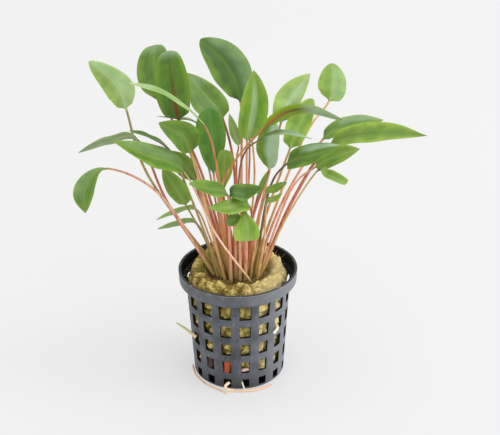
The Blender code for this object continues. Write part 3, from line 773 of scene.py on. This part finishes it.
def directions_along(places):
    """Unit direction of a route at each of its places."""
    ends = list(zip(places[:1] + places[:-1], places[1:] + places[-1:]))
    return [(after - before).normalized() for before, after in ends]


def sides_along(directions, start, facing):
    """Sideways direction at each place: square to the facing at start and carried both ways."""
    sides = [None] * len(directions)
    sides[start] = directions[start].cross(Vector(facing)).normalized()
    for index in range(start + 1, len(directions)):
        sides[index] = (sides[index - 1] - sides[index - 1].project(directions[index])).normalized()
    for index in range(start - 1, -1, -1):
        sides[index] = (sides[index + 1] - sides[index + 1].project(directions[index])).normalized()
    return sides


def veins_between(finish, side, patches, net):
    """Arching veins: 0 on a vein and 1 midway between two."""
    across = side * VEINS_PER_HALF + (patches - 0.5) * VEIN_WANDER + (net - 0.5) * VEIN_SHAKE
    return finish.reckon("PINGPONG", across, 0.5) * 2.0


def add_painted_sheen(finish, colour, patches):
    """Colour under the leaf's pale band of painted sheen."""
    return finish.blend(finish.read("bloom") * (0.6 + patches * 0.8), colour, SHEEN_COLOUR)


def blade_finish(name):
    """Upper face of a blade: margin, patches, faint arching veins and a fine net between them."""
    main, margin, patch, rib = GREENS[name]
    finish = Finish(f"leaf blade {name}", main, 0.4, Specular_IOR_Level=0.4)
    side = abs(finish.read("side"))
    along = finish.read("along")
    from_rib = abs(finish.read("from_rib"))
    patches = finish.grain(7.0, 3.0)
    net = finish.grain(0.7, 4.0)
    veins = veins_between(finish, side, patches, net)
    colour = finish.blend(finish.step(patches, 0.30, 0.75), patch, main)
    colour = finish.blend(finish.step(side + (patches - 0.5) * 0.9, 0.40, 1.15) * 0.7, colour, margin)
    colour = finish.blend(finish.step(along, 0.75, 1.0) * 0.3, colour, rib)
    colour = finish.blend((1.0 - finish.step(veins, 0.0, 0.6)) * 0.07, colour, rib)
    colour = finish.blend(finish.step(net, 0.5, 0.7) * 0.08, colour, patch)
    colour = finish.blend((1.0 - finish.step(from_rib, 0.4, 2.4)) * (1.0 - along * 0.5) * 0.30, colour, rib)
    colour = finish.blend((1.0 - finish.step(from_rib, 0.10, 0.5)) * (1.0 - along * 0.7) * 0.55, colour, rib)
    finish.paint(add_painted_sheen(finish, colour, patches))
    finish.gloss(0.36 + patches * 0.14)
    finish.raise_by(finish.step(veins, 0.0, 0.6) * 0.5 + net * 0.5, 0.05)
    return finish


def under_finish(name):
    """Underside of a blade: duller, with raised veins and a brown midrib."""
    main, margin, patch = GREENS[name][:3]
    finish = Finish(f"leaf underside {name}", main, 0.5, Specular_IOR_Level=0.3)
    side = abs(finish.read("side"))
    along = finish.read("along")
    from_rib = abs(finish.read("from_rib"))
    patches = finish.grain(6.0, 3.0)
    net = finish.grain(0.7, 4.0)
    veins = veins_between(finish, side, patches, net)
    colour = finish.blend(finish.step(patches, 0.3, 0.7), patch, main)
    colour = finish.blend(finish.step(side, 0.5, 1.0) * 0.6, colour, margin)
    colour = finish.blend((1.0 - finish.step(veins, 0.0, 0.5)) * 0.15, colour, patch)
    brown = (1.0 - finish.step(from_rib, 0.4, 1.5)) * (1.0 - finish.step(along, 0.3, 1.0) * 0.7)
    rib_colour = finish.blend(finish.step(along, 0.1, 0.5), RIB_FEET.get(name, RIB_FOOT), UNDER_RIB)
    colour = finish.blend(brown, colour, rib_colour)
    finish.paint(add_painted_sheen(finish, colour, patches))
    finish.gloss(0.45 + patches * 0.15)
    finish.raise_by((1.0 - finish.step(veins, 0.0, 0.4)) * 0.6 + net * 0.4, 0.1)
    return finish


def stalk_finish(name):
    """Skin of a stalk: streaked along its length, and olive only at the foot."""
    main, streak, top = STALKS[name]
    finish = Finish(f"leaf stalk {name}", main, 0.4)
    along = finish.read("along") + 1.0
    streaks = finish.grain(0.9, 3.0, (1.0, 1.0, 0.08))
    blotches = finish.grain(7.0, 2.0)
    colour = finish.blend(finish.step(streaks, 0.45, 0.72), main, streak)
    colour = finish.blend(finish.step(along, 0.6, 1.0) * 0.8, colour, top)
    foot = 1.0 - finish.step(along + (blotches - 0.5) * 0.4, 0.0, 0.24)
    finish.paint(finish.blend(foot * 0.8, colour, STALK_FOOT))
    finish.gloss(0.32 + streaks * 0.2)
    finish.raise_by(streaks, 0.06)
    return finish


finishes = {}


def kept_finish(maker, name):
    """Each finish is made once and shared."""
    if (maker, name) not in finishes:
        finishes[maker, name] = maker(name)
    return finishes[maker, name]


def grow_leaf(name, leaf):
    """One leaf as a closed body: rod rings shaped to the stalk and then to the blade."""
    points = [Vector((*leaf.foot, FOOT_HEIGHT))]
    points += [Vector(point) for point in (leaf.bend, leaf.joint, leaf.middle, leaf.tip)]
    wheres = [2 * row / STALK_ROWS for row in range(STALK_ROWS)]
    shares = [row / BLADE_ROWS for row in range(BLADE_ROWS + 1)]
    wheres += [2 + 2 * (share - ROW_CROWDING * math.sin(math.tau * share) / math.tau) for share in shares]
    places = [route_place(points, where) for where in wheres]
    directions = directions_along(places)
    middle_row = STALK_ROWS + BLADE_ROWS // 2
    sides = sides_along(directions, middle_row, leaf.facing)
    bend_power = math.log(0.5) / math.log(leaf.widest)
    rng = random.Random(name)
    phase = rng.uniform(0, math.tau)

    shape = straight_rod(SECTION_SIDES, len(places) - 1)
    for face in shape.faces:
        middle = face.calc_center_median()
        if middle.z > STALK_ROWS:
            face.material_index = 0 if middle.x > 0 else 1
        else:
            face.material_index = 2
    layers = {key: shape.verts.layers.float.new(key) for key in ("along", "side", "from_rib", "bloom")}
    for vert in shape.verts:
        row = round(vert.co.z)
        up, across = vert.co.x, vert.co.y
        place, direction = places[row], directions[row]
        if row < STALK_ROWS:
            share = row / STALK_ROWS
            radius = FOOT_RADIUS + (JOINT_RADIUS - FOOT_RADIUS) * share
            radius *= leaf.stout * (1 + FOOT_SWELL * (1 - grade(share, 0.0, 0.2)))
            vert[layers["along"]] = share - 1.0
            up, across = up * radius, across * radius
            back = 0.0
        else:
            share = (wheres[row] - 2) / 2
            level = math.asin(max(-1.0, min(1.0, across))) / (math.pi / 2)
            side = math.copysign(abs(level) ** SIDE_POWER, level)
            bluntness = leaf.base + (leaf.point - leaf.base) * share
            spread = max(math.sin(math.pi * min(share, 0.9999) ** bend_power), 0.0) ** bluntness
            half_width = max(leaf.widths[0 if side < 0 else 1] * spread, THINNEST_HALF)
            offset = side * half_width
            ribbed = math.exp(-(offset / RIB_WIDTH) ** 2)
            thick = BLADE_THICKNESS / 2 * (0 if abs(up) < 0.001 else 1)
            over = thick - RIB_GROOVE * ribbed * (1 - share)
            under = -thick - RIB_RISE * ribbed * (1 - share) * (abs(side) < 0.9)
            raised = leaf.fold * (math.hypot(offset, FOLD_ROUND) - FOLD_ROUND)
            wave = math.sin(share * EDGE_WAVES + phase + (2.0 if side > 0 else 0.0))
            ripple = EDGE_WAVE * abs(side) ** 3 * wave
            shaped_up = (over if up > 0 else under) + raised + ripple * min(1.0, share * 4) * (1 - share)
            grown = grade(share, 0.0, JOINT_SHARE)
            vert[layers["along"]] = share
            vert[layers["side"]] = side
            vert[layers["from_rib"]] = offset
            # A pale band of painted sheen across the blade
            if leaf.bloom:
                band_middle, band_reach, band_start, band_end, strength = leaf.bloom
                band = 1 - grade(abs(side - band_middle), band_reach * 0.4, band_reach)
                band *= grade(share, band_start - 0.1, band_start + 0.1)
                vert[layers["bloom"]] = strength * band * (1 - grade(share, band_end - 0.1, band_end + 0.1))
            joint_radius = JOINT_RADIUS * leaf.stout * (1 - grown)
            up = up * joint_radius + shaped_up * grown
            across = across * joint_radius + offset * grown
            back = leaf.lobe * abs(side) * (1 - grade(share, 0.0, LOBE_SHARE)) * grown
        normal = sides[row].cross(direction)
        vert.co = place + sides[row] * across + normal * up - direction * back
    pieces = [kept_finish(blade_finish, leaf.green), kept_finish(under_finish, leaf.green)]
    pieces.append(kept_finish(stalk_finish, leaf.stalk))
    return settle(f"{name}_grown", shape, pieces, BLADE_CREASE)


for leaf_name, leaf_values in LEAVES.items():
    grown_leaf = grow_leaf(leaf_name, leaf_values)
    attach(grown_leaf, "root")
    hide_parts(leaf_name)


# Roots and the stray shoot. Cream to pink roots come out of the pot's windows and lie
# round its base, short ones lie in its lower windows, and one pale young shoot pokes out
# at the left. Each is one tapering body that grew inside the wool.
Root = namedtuple("Root", "route start_radius end_radius near far slot")
ROOTS = {
    "root_front": Root(((-4.6, -20.9, 3.9), (-6.2, -22.4, 3.2), (-6.0, -23.0, 1.9), (-3.0, -23.0, 0.9),
                        (2.0, -23.5, 0.9), (8.0, -22.5, 0.9), (12.6, -20.5, 0.9), (15.0, -18.8, 0.9)),
                       0.75, 0.5, (240, 222, 182), (232, 178, 148), "root"),
    "root_left": Root(((-22.2, -1.3, 0.6), (-21.1, -7.5, 0.6), (-18.7, -12.7, 0.6), (-14.7, -17.9, 0.6),
                       (-9.8, -21.6, 0.6), (-5.6, -24.9, 0.6)), 0.5, 0.4,
                      (222, 186, 164), (226, 192, 160), "root"),
    "root_right": Root(((17.6, -13.6, 30.8), (17.9, -16.0, 30.5), (16.2, -18.5, 29.2)), 0.7, 0.6,
                       (240, 226, 192), (246, 238, 214), "root"),
    "shoot_left": Root(((-19.8, -12.0, 23.6), (-24.5, -12.0, 28.0), (-28.6, -12.0, 31.4)), 0.9, 0.25,
                       (232, 206, 168), (164, 176, 96), "shoot"),
    "fine_root_rust": Root(((-5.6, -18.9, 8.4), (-5.2, -19.4, 11.0), (-5.2, -19.4, 13.4),
                            (-5.4, -18.9, 16.2)), 1.9, 1.7, (140, 48, 14), (188, 80, 26), "root"),
    "fine_root_dark": Root(((-13.4, -14.9, 8.6), (-12.7, -15.8, 11.0), (-12.5, -15.7, 13.4),
                            (-13.1, -15.0, 16.2)), 1.7, 1.6, (36, 14, 8), (70, 32, 20), "root"),
    "fine_root_pink": Root(((0.2, -19.4, 9.4), (2.2, -20.2, 10.4), (4.0, -20.0, 10.6), (5.8, -19.2, 9.6)),
                           0.9, 0.7, (236, 186, 172), (232, 200, 184), "root"),
    "fine_root_white": Root(((1.2, -20.2, 4.2), (1.8, -21.9, 3.4), (2.5, -23.9, 2.2)), 0.4, 0.3,
                            (244, 232, 204), (250, 242, 222), "root"),
}
ROOT_SIDES = 14
ROWS_PER_POINT = 8
ROOT_FACING = (0.3, 0.2, 1.0)
ROOT_UNEVENNESS = 0.10
ROOT_BLOTCH = (190, 140, 100)

for root_name, root in ROOTS.items():
    points = [Vector(point) for point in root.route]
    count = (len(points) - 1) * ROWS_PER_POINT
    places = [route_place(points, (len(points) - 1) * row / count) for row in range(count + 1)]
    directions = directions_along(places)
    sides = sides_along(directions, 0, ROOT_FACING)
    root_shape = straight_rod(ROOT_SIDES, count)
    along_layer = root_shape.verts.layers.float.new("along")
    for vert in root_shape.verts:
        row = round(vert.co.z)
        share = row / count
        radius = root.start_radius + (root.end_radius - root.start_radius) * share
        radius *= 1 + ROOT_UNEVENNESS * noise.noise(places[row] * 0.9)
        normal = sides[row].cross(directions[row])
        vert[along_layer] = share
        vert.co = places[row] + (normal * vert.co.x + sides[row] * vert.co.y) * radius
    skin = Finish(f"{root_name} skin", root.near, 0.55)
    mottled = skin.grain(1.6, 3.0)
    skin_colour = skin.blend(skin.read("along") + (mottled - 0.5) * 0.5, root.near, root.far)
    skin.paint(skin.blend(skin.step(mottled, 0.55, 0.75) * 0.4, skin_colour, ROOT_BLOTCH))
    skin.gloss(0.45 + mottled * 0.2)
    skin.raise_by(mottled, 0.08)
    piece = settle(f"{root_name}_grown", root_shape, [skin])
    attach(piece, "root")
    if not root_name.startswith("fine"):
        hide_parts(root_name)
